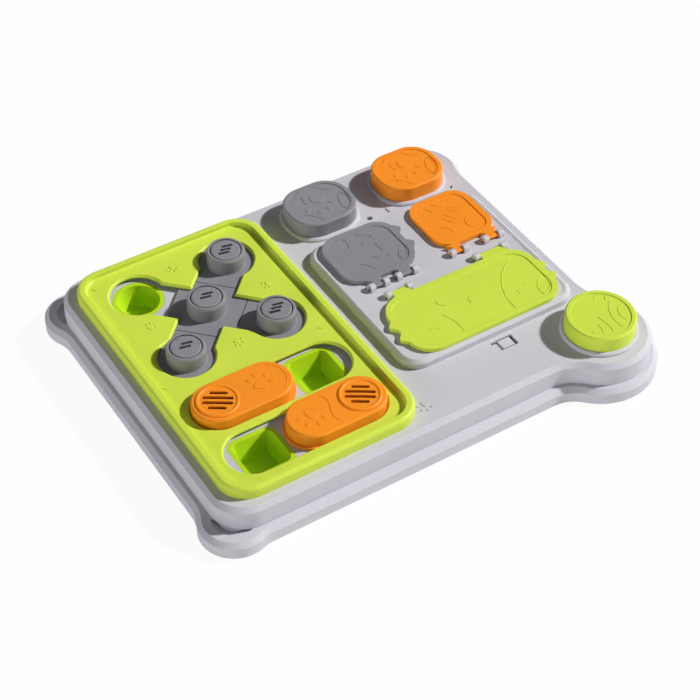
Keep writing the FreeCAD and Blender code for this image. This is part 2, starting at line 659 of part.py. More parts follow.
def knob(label, across, along):
    """A drum on a square foot plate that stays under the panel and covers a cup."""
    body = new_body(label)
    x, y = knob_centre_at(across, along)
    foot = new_sketch(body, "{deck_top} + {play}", x, y)
    trace(foot, cut_square(value("{plate_half}"), value("{plate_reach}")))
    pad(body, foot, "{plate_thick}")
    low, top = value("{deck_top} + {play} + 1"), value("{knob_top}")
    seat = value("{knob_top} - {disc_seat}")
    base, rim, disc = value("{drum_base}"), value("{drum_rim}"), value("{disc_radius} + {disc_groove}")
    turned(body, x, y, [
        (0, low), (base + 0.7, low), (base, low + 2.4), (base, top - 1.3), (rim, top), (disc, top),
        (disc, seat), (0, seat),
    ])
    hollow = new_sketch(body, "{deck_top} + {play}", x, y)
    circle(hollow, "{drum_base} - {slider_wall}")
    pocket(body, hollow, "{knob_top} - {drum_roof} - {deck_top} - {play}", upward=True)
    return body


def knob_disc(label, across, along):
    body = new_body(label)
    x, y = knob_centre_at(across, along)
    low, r = value("{knob_top} - {disc_seat}"), value("{disc_radius}")
    turned(body, x, y, [(0, low), (r, low), (r, low + 0.9), (r - 0.8, low + 1.3), (0, low + 1.7)])
    return body


# Sliders with their grille discs

SLIDERS = {"slider_rear": ("{rear_slot_y}", -1), "slider_front": ("{front_slot_y}", 1)}


def slider_centre(side):
    """The slider rests against the end of its slot."""
    return f"{{panel_x}} + {side} * (({{slot_length}} - {{slider_length}}) / 2 - {{slider_rest}})"


def grille_centre(side):
    return f"({slider_centre(side)}) + {side} * ({{slider_length}} - {{slider_width}}) / 2"


def slider(label, y, side):
    """A hollow lozenge with a flange that keeps it under the panel."""
    body = new_body(label)
    x = slider_centre(side)
    block = new_sketch(body, "{deck_top} + {play}", x, y)
    stadium(block, "{slider_length}", "{slider_width}")
    pad(body, block, "{slider_top} - {deck_top} - {play}")
    chamfer(body, "{slider_edge}", level("{slider_top}"))
    flange = new_sketch(body, "{deck_top} + {play}", x, y)
    stadium(flange, "{slider_length} + 2 * {slider_flange}", "{slider_width} + 2 * {slider_flange}")
    pad(body, flange, "{flange_thick}")
    hollow = new_sketch(body, "{deck_top} + {play}", x, y)
    stadium(hollow, "{slider_length} - 2 * {slider_wall}", "{slider_width} - 2 * {slider_wall}")
    pocket(body, hollow, "{slider_top} - {deck_top} - {play} - {slider_roof}", upward=True)
    grille_x = grille_centre(side)
    seat = new_sketch(body, "{slider_top}", grille_x, y)
    circle(seat, "{grille_radius} + {grille_fit}")
    pocket(body, seat, "{grille_seat}")
    vent = new_sketch(body, "{slider_top}", grille_x, y)
    circle(vent, "{grille_radius} - 2")
    pocket(body, vent, "{vent_deep}")
    return body


def slit(sketch, length, width, turn, offset):
    """One rounded slit, moved sideways from the sketch's origin and turned."""
    c, n = math.cos(math.radians(turn)), math.sin(math.radians(turn))
    reach, r = (length - width) / 2, width / 2

    def at(a, b):
        return vector(a * c - (b + offset) * n, a * n + (b + offset) * c)
    trace(sketch, [
        Part.LineSegment(at(-reach, -r), at(reach, -r)),
        Part.Arc(at(reach, -r), at(reach + r, 0), at(reach, r)),
        Part.LineSegment(at(reach, r), at(-reach, r)),
        Part.Arc(at(-reach, r), at(-reach - r, 0), at(-reach, -r)),
    ])


def grille(label, y, side):
    """A domed disc with four slanted slits that lets the smell of the treat out."""
    body = new_body(label)
    x = grille_centre(side)
    low, r = value("{slider_top} - {grille_seat}"), value("{grille_radius}")
    turned(body, x, y, [
        (0, low), (r, low), (r, low + 1.9), (r - 0.9, low + 2.6), (r - 1.9, low + 2.6), (r - 2.7, low + 1.9),
        (0, low + 2.1),
    ])
    slits = new_sketch(body, "{slider_top} + 2", x, y)
    width, pitch = value("{grille_slot}"), value("{grille_pitch}")
    for number, length in enumerate((12.0, 20.0, 20.0, 12.0)):
        slit(slits, length, width, value("{grille_turn}"), (number - 1.5) * pitch)
    pocket(body, slits, "5")
    return body


# Lid frame, lids and lid wells

PIN_HEIGHT = "({frame_top} + {lid_gap} + {pin_radius})"
# each lid: middle, width and depth of its plate, corner, hinge line, and its hinge straps as x and width
LIDS = {
    "lid_grey": ("{grey_lid_x}", "{short_lid_y}", "{grey_lid_width}", "{short_lid_depth}", 15.0,
                 "{short_hinge_y}", ((25.0, 7.0), (47.5, 9.0))),
    "lid_orange": ("{orange_lid_x}", "{short_lid_y}", "{orange_lid_width}", "{short_lid_depth}", 13.0,
                   "{short_hinge_y}", ((90.5, 6.0), (119.0, 8.0))),
    "lid_lime": ("{lime_lid_x}", "{lime_lid_y}", "{lime_lid_width}", "{lime_lid_depth}", 17.0,
                 "{lime_hinge_y}", ((33.0, 12.0), (108.0, 18.0))),
}
# each well: middle, width and depth of its mouth
WELLS = {
    "well_grey": ("{grey_lid_x}", "{short_lid_y} + 1", 44.0, 38.0),
    "well_orange": ("{orange_lid_x}", "{short_lid_y} + 1", 36.0, 38.0),
    "well_lime": ("{lime_lid_x}", "{lime_lid_y} - 1", 100.0, 42.0),
}


def hinge_clips(body, hinge_y, straps):
    """Two arched clips beside each strap, with a bore for the pin and a slit below it."""
    pin = value(PIN_HEIGHT)
    bore, radius = value("{pin_radius} + {pin_fit}"), value("{clip_radius}")
    foot = radius + 0.2
    length, gap = value("{clip_length}"), value("{clip_gap}")
    half_slit = value("{clip_slit} / 2")
    drop = math.sqrt(bore ** 2 - half_slit ** 2)
    base = value("{frame_top}") - 1.0 - pin
    for middle, width in straps:
        for start in (middle - width / 2 - gap - length, middle + width / 2 + gap):
            clip = new_sketch(body, str(start), hinge_y, PIN_HEIGHT, "YZ_Plane")
            trace(clip, [
                Part.LineSegment(vector(-foot, base), vector(foot, base)),
                Part.LineSegment(vector(foot, base), vector(radius, 0)),
                Part.Arc(vector(radius, 0), vector(0, radius), vector(-radius, 0)),
                Part.LineSegment(vector(-radius, 0), vector(-foot, base)),
            ])
            pad(body, clip, "{clip_length}")
        reach = width / 2 + gap + length + 0.5
        keyhole = new_sketch(body, str(middle + reach), hinge_y, PIN_HEIGHT, "YZ_Plane")
        trace(keyhole, [
            Part.Arc(vector(-half_slit, -drop), vector(0, bore), vector(half_slit, -drop)),
            Part.LineSegment(vector(half_slit, -drop), vector(half_slit, -6)),
            Part.LineSegment(vector(half_slit, -6), vector(-half_slit, -6)),
            Part.LineSegment(vector(-half_slit, -6), vector(-half_slit, -drop)),
        ])
        pocket(body, keyhole, str(2 * reach))


def lid_frame():
    body = new_body("lid_frame")
    outer = new_sketch(body, "{deck_top}", "{frame_x}", "{frame_y}")
    rounded_rectangle(outer, "{frame_width}", "{frame_depth}", "{frame_corner}")
    pad(body, outer, "{frame_top} + {frame_lip} - {deck_top}")
    chamfer(body, "{frame_bevel}", level("{frame_top} + {frame_lip}"))
    field = new_sketch(body, "{frame_top} + {frame_lip}", "{frame_x}", "{frame_y}")
    rounded_rectangle(field, "{frame_width} - 2 * {frame_border}", "{frame_depth} - 2 * {frame_border}",
                      "{frame_corner} - {frame_border}")
    pocket(body, field, "{frame_lip}")
    under = new_sketch(body, "{deck_top}", "{frame_x}", "{frame_y}")
    rounded_rectangle(under, "{frame_width} - 2 * {panel_wall}", "{frame_depth} - 2 * {panel_wall}",
                      "{frame_corner} - {panel_wall}")
    pocket(body, under, "{frame_top} - {frame_skin} - {deck_top}", upward=True)
    for x, y, width, depth in WELLS.values():
        for grow, deep in (("({well_lip} + {well_fit})", "{well_seat}"), ("{well_fit}", "{frame_skin}")):
            mouth = new_sketch(body, "{frame_top}", x, y)
            rounded_rectangle(mouth, f"{width} + 2 * {grow}", f"{depth} + 2 * {grow}",
                              f"{{well_corner}} + {grow}")
            pocket(body, mouth, deep)
    for x, y, width, depth, corner, hinge_y, straps in LIDS.values():
        hinge_clips(body, hinge_y, straps)
    return body


def finger_tabs(body, x, y_first, y_second, side):
    """Two small pointed tabs that stand out of a lid's short side."""
    edge = value(x)
    tabs = new_sketch(body, "{frame_top} + {lid_gap}")
    for middle in (y_first, y_second):
        points = [(-2.0, -5.4), (0.2, -5.0), (3.2, -1.8), (3.9, -0.3), (3.6, 1.0), (0.2, 4.4), (-2.0, 5.2)]
        outline = [(edge + side * a, middle + b) for a, b in points]
        trace(tabs, polygon(outline))
    pad(body, tabs, "{lid_thick}")


def lid(label):
    """A plate with a sunk field, straps at one long side and a pin through each strap."""
    body = new_body(label)
    x, y, width, depth, corner, hinge_y, straps = LIDS[label]
    low = "{frame_top} + {lid_gap}"
    plate = new_sketch(body, low, x, y)
    rounded_rectangle(plate, width, depth, corner)
    pad(body, plate, "{lid_thick}")
    if label == "lid_grey":
        finger_tabs(body, f"{x} + {width} / 2", value(y) + 9.8, value(y) - 7.6, 1)
    if label == "lid_lime":
        finger_tabs(body, f"{x} + {width} / 2", value(y) + 3.4, value(y) - 8.6, 1)
        finger_tabs(body, f"{x} - {width} / 2", value(y) + 5.4, value(y) - 7.4, -1)
    field = new_sketch(body, f"{low} + {{lid_thick}}", x, y)
    rounded_rectangle(field, f"{width} - 2 * {{lid_border}}", f"{depth} - 2 * {{lid_border}}",
                      f"{corner} - {{lid_border}}")
    pocket(body, field, "{lid_sink}")
    line = value(hinge_y)
    toward = 1.0 if value(y) > line else -1.0
    edge = value(f"{y} - {toward} * {depth} / 2")
    arms = new_sketch(body, low)
    for middle, across in straps:
        half = across / 2
        trace(arms, polygon([
            (middle - half, line), (middle + half, line), (middle + half, line + toward * 3.8),
            (middle + half + 3, edge + toward * 1.0), (middle - half - 3, edge + toward * 1.0),
            (middle - half, line + toward * 3.8),
        ]))
    pad(body, arms, "{lid_thick}")
    for middle, across in straps:
        reach = across / 2 + value("{clip_gap} + {clip_length}")
        pin = new_sketch(body, str(middle - reach), hinge_y, PIN_HEIGHT, "YZ_Plane")
        circle(pin, "{pin_radius}")
        pad(body, pin, str(2 * reach))
    return body


def lid_well(label):
    x, y, width, depth = WELLS[label]
    return tub(label, x, y, width, depth, "{well_corner}", "({frame_top} - {play})", "{well_bottom}",
               "{well_lip}", "({well_seat} - {well_fit})", "{well_wall}", "{well_lean}")


# Lift-off caps and the wells below them

def cap_sizes(label):
    """Middle, width, depth and corner of a cap; the round cap is a square with full corners."""
    if label.endswith("round"):
        across = "(2 * {round_cap_radius})"
        return "{big_ear_x}", "{big_ear_y}", across, across, "({round_cap_radius} - 0.01)"
    x = "{grey_cap_x}" if label.endswith("grey") else "{orange_cap_x}"
    return x, "{cap_y}", "{cap_width}", "{cap_depth}", "{cap_corner}"


def cap(label):
    body = new_body(label)
    x, y, width, depth, corner = cap_sizes(label)
    block = new_sketch(body, "{collar_top}", x, y)
    rounded_rectangle(block, width, depth, corner)
    pad(body, block, "{cap_top} - {collar_top}")
    chamfer(body, "{cap_edge}", level("{cap_top}"))
    hollow = "{cap_top} - {cap_roof} - {collar_top}"
    for inset, height, deep, upward in (("{cap_border}", "{cap_top}", "{lid_sink}", False),
                                        ("{cap_wall}", "{collar_top}", hollow, True)):
        sketch = new_sketch(body, height, x, y)
        rounded_rectangle(sketch, f"{width} - 2 * {inset}", f"{depth} - 2 * {inset}", f"{corner} - {inset}")
        pocket(body, sketch, deep, upward)
    return body


def cap_well(label):
    """A well with a collar under the cap's edge and an upstand that the cap fits over."""
    body = new_body(label)
    x, y, width, depth, corner = cap_sizes(label)
    collar = new_sketch(body, "{deck_top}", x, y)
    rounded_rectangle(collar, f"{width} + 2 * {{collar}}", f"{depth} + 2 * {{collar}}", f"{corner} + {{collar}}")
    pad(body, collar, "{collar_top} - {deck_top}")
    chamfer(body, "{collar_bevel}", level("{collar_top}"))
    gap = "({cap_wall} + {cap_play})"
    for inset, height, deep in ((gap, "{collar_top}", "{upstand}"),
                                (f"({gap} + {{hole_gap}})", "{well_bottom}", "{deck_top} - {well_bottom}")):
        sketch = new_sketch(body, height, x, y)
        rounded_rectangle(sketch, f"{width} - 2 * {inset}", f"{depth} - 2 * {inset}", f"{corner} - {inset}")
        pad(body, sketch, deep)
    hollow = new_sketch(body, "{collar_top} + {upstand}", x, y)
    inset = f"({gap} + {{hole_gap}} + {{well_wall}})"
    rounded_rectangle(hollow, f"{width} - 2 * {inset}", f"{depth} - 2 * {inset}", f"{corner} - {inset}")
    pocket(body, hollow, "{collar_top} + {upstand} - {well_bottom} - {well_wall}")
    return body


# Feet and screws, each a group of equal solids in one node

def rubber_feet():
    body = new_body("rubber_feet")
    body.AllowCompound = True
    discs = new_sketch(body, "0")
    for number, (x, y) in enumerate(FOOT_PLACES):
        circle(discs, "{foot_radius}", f"foot{number}", x, y)
    pad(body, discs, "{skirt_bottom} + {foot_recess} - {play}")
    return body


def base_screws():
    body = new_body("base_screws")
    body.AllowCompound = True
    seat = "{skirt_bottom} + {head_recess} - {play}"
    for radius, low, high in (("{screw_head}", "{skirt_bottom} + 0.2", seat),
                              ("{screw_radius}", "{skirt_bottom} + 1", "{skirt_bottom} + 1 + {screw_length}")):
        rounds = new_sketch(body, low)
        for number, (x, y) in enumerate(SCREW_PLACES):
            circle(rounds, radius, f"screw{number}", x, y)
        pad(body, rounds, f"{high} - ({low})")
    return body


# All sub-parts

def build_all():
    parts = [base_tray(), upper_deck(), cross_track(), slot_track(), puzzle_panel(), lid_frame()]
    for label, place in ROUND_CUPS.items():
        parts.append(round_cup(label, *place))
    for label, place in SLOT_CUPS.items():
        parts.append(slot_cup(label, *place))
    for label, place in KNOBS.items():
        parts.append(knob(label, *place))
        parts.append(knob_disc(label.replace("knob", "knob_disc"), *place))
    for label, (y, side) in SLIDERS.items():
        parts.append(slider(label, y, side))
        parts.append(grille(label.replace("slider", "grille"), y, side))
    for label in LIDS:
        parts.append(lid(label))
    for label in WELLS:
        parts.append(lid_well(label))
    for colour in ("grey", "orange", "round"):
        parts.append(cap("cap_" + colour))
        parts.append(cap_well("cap_well_" + colour))
    parts.append(rubber_feet())
    parts.append(base_screws())
    return parts


def write_out(parts):
    """Checks every object, then writes one file per sub-part."""
    doc.recompute()
    for item in doc.Objects:
        if "Invalid" in item.State or "Error" in item.State:
            raise RuntimeError(item.Label + " is in error")
    os.makedirs("parts", exist_ok=True)
    for body in parts:
        if body.Shape.isNull() or not body.Shape.isValid():
            raise RuntimeError(body.Label + " has no valid shape")
        body.Shape.exportStep(os.path.join("parts", body.Label + ".step"))


write_out(build_all())
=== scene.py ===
import json
import math

import bpy
from mathutils import Matrix, Vector


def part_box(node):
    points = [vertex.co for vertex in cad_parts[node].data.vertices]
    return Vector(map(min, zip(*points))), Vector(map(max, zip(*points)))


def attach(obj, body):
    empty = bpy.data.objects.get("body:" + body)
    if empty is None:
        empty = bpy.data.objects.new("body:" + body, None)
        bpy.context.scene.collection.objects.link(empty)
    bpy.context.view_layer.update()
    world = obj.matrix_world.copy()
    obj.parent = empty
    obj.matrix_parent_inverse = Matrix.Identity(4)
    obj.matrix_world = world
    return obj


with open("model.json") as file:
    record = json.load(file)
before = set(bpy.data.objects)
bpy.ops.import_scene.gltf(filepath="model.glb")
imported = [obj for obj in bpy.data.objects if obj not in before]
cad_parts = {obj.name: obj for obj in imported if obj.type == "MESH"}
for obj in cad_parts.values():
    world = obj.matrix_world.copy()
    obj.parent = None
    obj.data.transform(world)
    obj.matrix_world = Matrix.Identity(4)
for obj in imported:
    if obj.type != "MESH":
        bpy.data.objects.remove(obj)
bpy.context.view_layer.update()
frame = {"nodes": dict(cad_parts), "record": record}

# Dog puzzle feeder board: the imported solids get moulded plastic, and the relief on caps, lids, sliders and
# knobs is added as raised pieces. The near-black bars and rings on the knobs, the near-black discs under the
# grilles and the mid-grey line on the lid frame are painted shade. Metres, the row's frame.

NODES = frame["nodes"]
MM = 0.001


# Materials

def srgb(red, green, blue):
    """A colour written as 0 to 255 screen values, as the linear numbers a shader takes."""
    def linear(value):
        part = value / 255
        return part / 12.92 if part <= 0.04045 else ((part + 0.055) / 1.055) ** 2.4
    return (linear(red), linear(green), linear(blue), 1.0)


def scaled(colour, factor):
    return tuple(min(1.0, channel * factor) for channel in colour[:3]) + (1.0,)


class Tree:
    """A short way to add and join the nodes of one material."""

    def __init__(self, name):
        self.material = bpy.data.materials.new(name)
        self.material.use_nodes = True
        self.nodes = self.material.node_tree.nodes
        self.links = self.material.node_tree.links
        self.nodes.clear()

    def add(self, kind, **inputs):
        node = self.nodes.new(kind)
        for name, value in inputs.items():
            node.inputs[name.replace("_", " ")].default_value = value
        return node

    def join(self, output, target):
        self.links.new(output, target)

    def noise(self, place, scale, detail=3.0):
        node = self.add("ShaderNodeTexNoise", Scale=scale, Detail=detail)
        self.join(place, node.inputs["Vector"])
        return node.outputs["Fac"]

    def spread(self, value, low, high, from_low=0.3, from_high=0.7):
        node = self.add("ShaderNodeMapRange")
        for index, number in enumerate((from_low, from_high, low, high), start=1):
            node.inputs[index].default_value = number
        self.join(value, node.inputs[0])
        return node.outputs[0]

    def mix(self, factor, first, second):
        """Mixes two colours, each a colour or an output, by an output."""
        node = self.nodes.new("ShaderNodeMix")
        node.data_type = "RGBA"
        self.join(factor, node.inputs["Factor"])
        for socket, value in ((node.inputs[6], first), (node.inputs[7], second)):
            if isinstance(value, tuple):
                socket.default_value = value
            else:
                self.join(value, socket)
        return node.outputs[2]


def moulded_plastic(name, colour, roughness=0.46, specular=0.24, grain=1.0, edge=1.18, edge_radius=0.45):
    """Injection-moulded plastic: faint flow clouds, uneven satin, a fine etched grain, rubbed edges."""
    tree = Tree(name)
    place = tree.add("ShaderNodeTexCoord").outputs["Object"]
    clouds = tree.noise(place, 9.0)
    flecks = tree.noise(place, 420.0, 2.0)
    base = tree.mix(tree.spread(clouds, 0.0, 1.0), scaled(colour, 0.955), scaled(colour, 1.03))
    base = tree.mix(tree.spread(flecks, 0.0, 0.22), base, scaled(colour, 0.9))

    soft = tree.add("ShaderNodeBevel", Radius=edge_radius * MM)
    soft.samples = 6
    true_normal = tree.add("ShaderNodeNewGeometry").outputs["Normal"]
    facing = tree.add("ShaderNodeVectorMath")
    facing.operation = "DOT_PRODUCT"
    tree.join(soft.outputs["Normal"], facing.inputs[0])
    tree.join(true_normal, facing.inputs[1])
    worn = tree.spread(facing.outputs["Value"], 0.55, 0.0, 0.82, 0.995)
    rub = tree.noise(place, 60.0)
    wear = tree.add("ShaderNodeMath")
    wear.operation = "MULTIPLY"
    tree.join(worn, wear.inputs[0])
    tree.join(tree.spread(rub, 0.35, 1.0), wear.inputs[1])
    base = tree.mix(wear.outputs[0], base, scaled(colour, edge))

    satin = tree.spread(tree.noise(place, 70.0), roughness - 0.05, roughness + 0.07)
    etched = tree.noise(place, 2600.0, 2.0)
    sink = tree.noise(place, 26.0, 1.0)
    fine = tree.add("ShaderNodeBump", Strength=0.16 * grain, Distance=0.12 * MM)
    tree.join(etched, fine.inputs["Height"])
    tree.join(soft.outputs["Normal"], fine.inputs["Normal"])
    broad = tree.add("ShaderNodeBump", Strength=0.12, Distance=0.5 * MM)
    tree.join(sink, broad.inputs["Height"])
    tree.join(fine.outputs["Normal"], broad.inputs["Normal"])

    shader = tree.add("ShaderNodeBsdfPrincipled")
    shader.inputs["Specular IOR Level"].default_value = specular
    tree.join(base, shader.inputs["Base Color"])
    tree.join(satin, shader.inputs["Roughness"])
    tree.join(broad.outputs["Normal"], shader.inputs["Normal"])
    output = tree.add("ShaderNodeOutputMaterial")
    tree.join(shader.outputs["BSDF"], output.inputs["Surface"])
    return tree.material


def foot_rubber():
    tree = Tree("foot_rubber")
    place = tree.add("ShaderNodeTexCoord").outputs["Object"]
    colour = srgb(58, 58, 60)
    dust = tree.spread(tree.noise(place, 160.0), 0.0, 0.5)
    base = tree.mix(dust, colour, srgb(92, 92, 94))
    bump = tree.add("ShaderNodeBump", Strength=0.3, Distance=0.1 * MM)
    tree.join(tree.noise(place, 1500.0), bump.inputs["Height"])
    shader = tree.add("ShaderNodeBsdfPrincipled")
    shader.inputs["Specular IOR Level"].default_value = 0.2
    tree.join(base, shader.inputs["Base Color"])
    tree.join(tree.spread(tree.noise(place, 90.0), 0.7, 0.9), shader.inputs["Roughness"])
    tree.join(bump.outputs["Normal"], shader.inputs["Normal"])
    tree.join(shader.outputs["BSDF"], tree.add("ShaderNodeOutputMaterial").inputs["Surface"])
    return tree.material


def screw_steel():
    tree = Tree("screw_steel")
    place = tree.add("ShaderNodeTexCoord").outputs["Object"]
    base = tree.mix(tree.spread(tree.noise(place, 300.0), 0.0, 1.0), srgb(150, 150, 152), srgb(178, 178, 180))
    bump = tree.add("ShaderNodeBump", Strength=0.2, Distance=0.05 * MM)
    tree.join(tree.noise(place, 2200.0), bump.inputs["Height"])
    shader = tree.add("ShaderNodeBsdfPrincipled", Metallic=1.0)
    tree.join(base, shader.inputs["Base Color"])
    tree.join(tree.spread(tree.noise(place, 120.0), 0.28, 0.42), shader.inputs["Roughness"])
    tree.join(bump.outputs["Normal"], shader.inputs["Normal"])
    tree.join(shader.outputs["BSDF"], tree.add("ShaderNodeOutputMaterial").inputs["Surface"])
    return tree.material


LIME_TOP = srgb(206, 226, 76)
LIME_CUP = srgb(186, 222, 36)
LIGHT_GREY = srgb(200, 200, 208)
MID_GREY = srgb(137, 137, 144)
ORANGE = srgb(250, 148, 34)

MATERIALS = {
    "light_grey": moulded_plastic("light_grey", LIGHT_GREY),
    "mid_grey": moulded_plastic("mid_grey", MID_GREY, edge=1.35),
    "lime_panel": moulded_plastic("lime_panel", LIME_TOP),
    "lime": moulded_plastic("lime", LIME_TOP),
    "lime_cup": moulded_plastic("lime_cup", LIME_CUP),
    "orange": moulded_plastic("orange", ORANGE),
    # near-black material used only for painted shade in slits, grooves and hollows
    "painted_shade": moulded_plastic("painted_shade", srgb(44, 42, 48), roughness=0.6, edge=1.0),
    "foot_rubber": foot_rubber(),
    "screw_steel": screw_steel(),
}


def paint_frame():
    """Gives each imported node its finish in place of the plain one."""
    slots = {entry["node"]: entry["material_slot"] for entry in frame["record"]["subparts"]}
    for name, node in NODES.items():
        material = MATERIALS[slots[name]]
        if "cup_" in name and "cap" not in name:
            material = MATERIALS["lime_cup"]
        for slot in node.material_slots:
            slot.material = material


# Outlines for the relief, in millimetres about the middle of the piece that carries them

def arc(x, y, radius, start, end, count=24):
    """Points on a circle, from one angle to another in degrees."""
    turns = [math.radians(start + (end - start) * n / count) for n in range(count + 1)]
    return [(x + radius * math.cos(turn), y + radius * math.sin(turn)) for turn in turns]


def bow(first, middle, last, count=20):
    """Points on the circle through three points."""
    (ax, ay), (bx, by), (cx, cy) = first, middle, last
    twice = 2 * (ax * (by - cy) + bx * (cy - ay) + cx * (ay - by))
    a2, b2, c2 = ax * ax + ay * ay, bx * bx + by * by, cx * cx + cy * cy
    x = (a2 * (by - cy) + b2 * (cy - ay) + c2 * (ay - by)) / twice
    y = (a2 * (cx - bx) + b2 * (ax - cx) + c2 * (bx - ax)) / twice
    radius = math.hypot(ax - x, ay - y)
    start = math.atan2(ay - y, ax - x)
    through = (math.atan2(by - y, bx - x) - start) % math.tau
    end = (math.atan2(cy - y, cx - x) - start) % math.tau
    if through > end:
        end -= math.tau
    turns = [start + end * n / count for n in range(count + 1)]
    return [(x + radius * math.cos(turn), y + radius * math.sin(turn)) for turn in turns]


def straight(first, last, count=8):
    (ax, ay), (bx, by) = first, last
    return [(ax + (bx - ax) * n / count, ay + (by - ay) * n / count) for n in range(count + 1)]


def oval(x, y, long, wide, turn, count=22):
    """A closed oval, its long half size lying at an angle in degrees."""
    c, s = math.cos(math.radians(turn)), math.sin(math.radians(turn))
    points = []
    for n in range(count):
        a, b = long * math.cos(math.tau * n / count), wide * math.sin(math.tau * n / count)
        points.append((x + a * c - b * s, y + a * s + b * c))
    return points


def paw_pad(x, y, size, heading, count=36):
    """The big pad of a paw print: a round three-lobed outline whose front faces the heading."""
    points = []
    for n in range(count):
        turn = math.tau * n / count
        radius = size * (1.0 + 0.13 * math.cos(3 * turn) - 0.05 * math.cos(2 * turn))
        angle = turn + math.radians(heading)
        points.append((x + radius * math.cos(angle), y + radius * math.sin(angle)))
    return points


def paw(x, y, size, heading):
    """Closed outlines of a plain paw print: a pad and four toes spread about the heading."""
    shapes = [paw_pad(x, y, size, heading)]
    for spread, reach in ((-62, 1.86), (-22, 2.12), (22, 2.12), (62, 1.86)):
        turn = heading + spread
        toe_x = x + size * reach * math.cos(math.radians(turn))
        toe_y = y + size * reach * math.sin(math.radians(turn))
        shapes.append(oval(toe_x, toe_y, size * 0.52, size * 0.38, turn))
    return shapes


# Relief meshes

def mesh_piece(name, vertices, faces, material, body):
    mesh = bpy.data.meshes.new(name)
    mesh.from_pydata([Vector(v) * MM for v in vertices], [], faces)
    mesh.update()
    piece = bpy.data.objects.new(name, mesh)
    bpy.context.scene.collection.objects.link(piece)
    mesh.materials.append(MATERIALS[material])
    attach(piece, body)
    return piece


def add_plateau(vertices, faces, outline, level, height, slope=0.16):
    """A raised flat island with a sloped rim; its skirt starts just under the surface."""
    count = len(outline)
    mid_x = sum(p[0] for p in outline) / count
    mid_y = sum(p[1] for p in outline) / count
    first = len(vertices)
    for z, inset in ((level - 0.12, 0.0), (level + height * 0.7, slope * 0.35), (level + height, slope)):
        for x, y in outline:
            away = max(math.hypot(x - mid_x, y - mid_y), 1e-6)
            keep = max(0.2, 1 - inset / away)
            vertices.append((mid_x + (x - mid_x) * keep, mid_y + (y - mid_y) * keep, z))
    for ring in range(2):
        for n in range(count):
            a, b = first + ring * count + n, first + ring * count + (n + 1) % count
            faces.append((a, b, b + count, a + count))
    faces.append(tuple(range(first + 2 * count, first + 3 * count)))


def add_ridge(vertices, faces, path, level, height, width):
    """A low rounded bead along an open path, drawn out to a point at both ends."""
    count = len(path)
    first = len(vertices)
    profile = ((-0.5, -0.12), (-0.42, 0.75), (0.0, 1.0), (0.42, 0.75), (0.5, -0.12))
    for n, (x, y) in enumerate(path):
        before, after = path[max(n - 1, 0)], path[min(n + 1, count - 1)]
        along = Vector((after[0] - before[0], after[1] - before[1])).normalized()
        part = n / (count - 1)
        swell = min(1.0, 0.12 + 4.0 * min(part, 1 - part))
        for side, rise in profile:
            z = level + (rise * height if rise > 0 else rise)
            vertices.append((x - along.y * side * width * swell, y + along.x * side * width * swell, z))
    step = len(profile)
    for n in range(count - 1):
        for k in range(step - 1):
            a = first + n * step + k
            faces.append((a, a + step, a + step + 1, a + 1))
    faces.append(tuple(first + k for k in range(step)))
    faces.append(tuple(first + (count - 1) * step + k for k in reversed(range(step))))


def relief(name, centre, level, islands, beads, body, slot, height=0.34, width=0.75, material=None):
    """One raised piece made of islands and beads, on top of the piece whose body it rides on."""
    vertices, faces = [], []
    for outline in islands:
        add_plateau(vertices, faces, outline, level, height)
    for path in beads:
        add_ridge(vertices, faces, path, level, height, width)
    placed = [(centre[0] + x, centre[1] + y, z) for x, y, z in vertices]
    return mesh_piece(name, placed, faces, material or slot, body)


def middle(node):
    """Middle of a node in plan, in millimetres."""
    low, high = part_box(node)
    return ((low[0] + high[0]) / 2 / MM, (low[1] + high[1]) / 2 / MM)


def top_of(node):
    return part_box(node)[1][2] / MM


# heights of the faces that carry relief, and where the lids' plates begin, in millimetres
FIELD_DEPTH = 0.6
DECK_TOP = 29.0
PANEL_FLOOR = 34.0
SLIDER_TOP = 40.6
GREY_LID_X = 36.5
LID_FRONT = 14.0
LIME_LID_BACK = -9.0
STEP_FRONT, STEP_BACK, STEP_OVERHANG = -9.6, -7.4, 0.6
GROOVE_RADIUS = 10.6
GROOVE_FLOOR = 41.4
FRAME_TOP = 35.7
FRAME_EDGE = 133.2
SHADE_LINE_REACH = 50.0

# the slits on a knob's disc, drawn as near-black bars of painted shade: sunk so that their tops stay just
# under the top of the disc
SLIT_PITCH, SLIT_LENGTH, SLIT_WIDTH, SLIT_TURN, SLIT_SINK = 3.7, 7.6, 1.9, -12, 0.26


